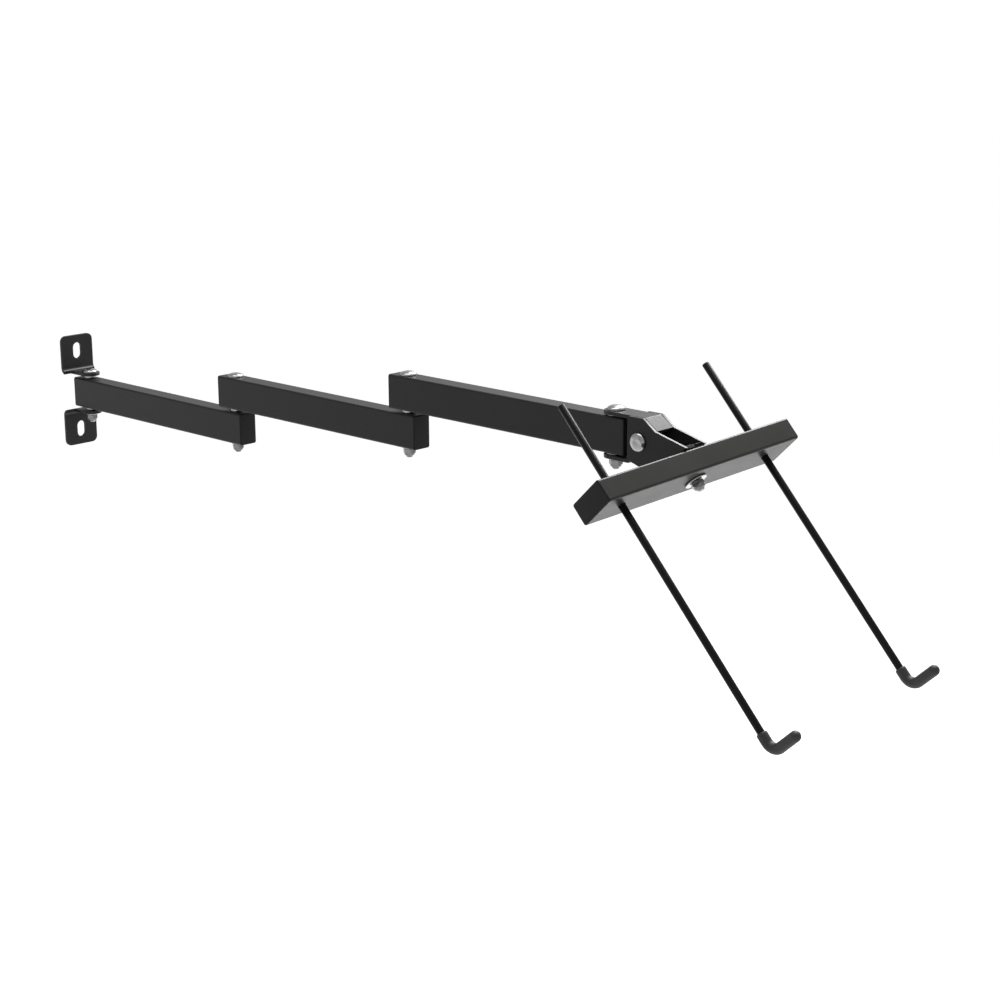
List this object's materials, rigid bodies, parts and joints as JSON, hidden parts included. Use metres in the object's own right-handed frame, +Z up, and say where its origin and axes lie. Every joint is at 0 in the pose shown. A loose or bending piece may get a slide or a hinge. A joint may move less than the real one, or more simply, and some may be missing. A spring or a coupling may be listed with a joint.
{
  "type": "bicycle wall rack",
  "caption": "Folding wall rack for a bicycle: two L brackets, stacked tube arms on vertical pivots, and a tilting cross bar with two long coated hooks.",
  "frame": {"origin": "in the wall plane, midway between the two wall brackets and level with the middle of the first arm", "axes": "+X out of the wall along the arms, +Y along the wall, +Z up"},
  "size_m": [1.316, 0.2836, 0.3159],
  "materials": {
    "black_oxide": "black-oxide steel",
    "black_plastic": "satin black plastic",
    "dipped_vinyl": "satin black dipped vinyl",
    "gloss_black": "gloss black enamel on steel bar",
    "nylon": "natural nylon",
    "powder_coat": "semi-gloss dark grey powder coat",
    "zinc": "bright zinc-plated steel"
  },
  "bodies": {
    "wall_base": {"wall_bracket_lower": "powder_coat", "wall_bracket_upper": "powder_coat", "wall_pivot_bolt": "zinc", "wall_pivot_nut": "zinc", "wall_pivot_spacer_lower": "zinc", "wall_pivot_spacer_upper": "zinc", "wall_pivot_washer": "zinc"},
    "arm_1": {"arm_1_bush_inner": "zinc", "arm_1_bush_outer": "zinc", "arm_1_cap_inner": "black_plastic", "arm_1_cap_outer": "black_plastic", "arm_1_tube": "powder_coat"},
    "arm_2": {"arm_2_bush_inner": "zinc", "arm_2_bush_outer": "zinc", "arm_2_cap_inner": "black_plastic", "arm_2_cap_outer": "black_plastic", "arm_2_tube": "powder_coat", "elbow_1_bolt": "zinc", "elbow_1_nut": "zinc", "elbow_1_spacer": "zinc", "elbow_1_washer": "zinc"},
    "arm_3": {"arm_3_bush_inner": "zinc", "arm_3_bush_outer": "zinc", "arm_3_cap_inner": "black_plastic", "arm_3_cap_outer": "black_plastic", "arm_3_tube": "powder_coat", "elbow_2_bolt": "zinc", "elbow_2_nut": "zinc", "elbow_2_spacer": "zinc", "elbow_2_washer": "zinc"},
    "yoke": {"swivel_bolt": "zinc", "swivel_nut": "zinc", "swivel_shim_lower": "nylon", "swivel_shim_upper": "nylon", "swivel_washer": "zinc", "swivel_yoke": "powder_coat"},
    "tilt_head": {"roll_bolt": "zinc", "roll_friction_washer": "nylon", "roll_nut": "zinc", "roll_washer": "zinc", "tilt_bolt": "zinc", "tilt_bracket": "powder_coat", "tilt_nut": "zinc", "tilt_washer": "zinc"},
    "cross_bar": {"cross_bar_bush": "zinc", "cross_bar_cap_left": "black_plastic", "cross_bar_cap_right": "black_plastic", "cross_bar_tube": "powder_coat", "set_screw_left": "black_oxide", "set_screw_right": "black_oxide"},
    "hook_left": {"hook_rod_left": "gloss_black", "hook_sleeve_left": "dipped_vinyl"},
    "hook_right": {"hook_rod_right": "gloss_black", "hook_sleeve_right": "dipped_vinyl"}
  },
  "joints": [
    {"name": "wall_pivot", "type": "hinge", "parent": "wall_base", "child": "arm_1", "pos_m": [0.031, 0, 0], "axis": [0, 0, 1], "range_deg": [-90, 90]},
    {"name": "elbow_1", "type": "hinge", "parent": "arm_1", "child": "arm_2", "pos_m": [0.346, 0, 0], "axis": [0, 0, -1], "range_deg": [-165, 165]},
    {"name": "elbow_2", "type": "hinge", "parent": "arm_2", "child": "arm_3", "pos_m": [0.661, 0, 0], "axis": [0, 0, 1], "range_deg": [-160, 160]},
    {"name": "head_swivel", "type": "hinge", "parent": "arm_3", "child": "yoke", "pos_m": [0.976, 0, 0.0884], "axis": [0, 0, -1], "range_deg": [-90, 90]},
    {"name": "head_tilt", "type": "hinge", "parent": "yoke", "child": "tilt_head", "pos_m": [1.0203, 0, 0.0884], "axis": [0, 1, 0], "range_deg": [-40, 40]},
    {"name": "cross_bar_roll", "type": "hinge", "parent": "tilt_head", "child": "cross_bar", "pos_m": [1.07444, 0, 0.06483], "axis": [0.6769, 0, -0.7361], "range_deg": [-51, 39]},
    {"name": "hook_slide_left", "type": "slide", "parent": "cross_bar", "child": "hook_left", "axis": [0.6769, 0, -0.7361], "range_m": [-0.03, 0.08]},
    {"name": "hook_slide_right", "type": "slide", "parent": "cross_bar", "child": "hook_right", "axis": [0.6769, 0, -0.7361], "range_m": [-0.03, 0.08]}
  ]
}
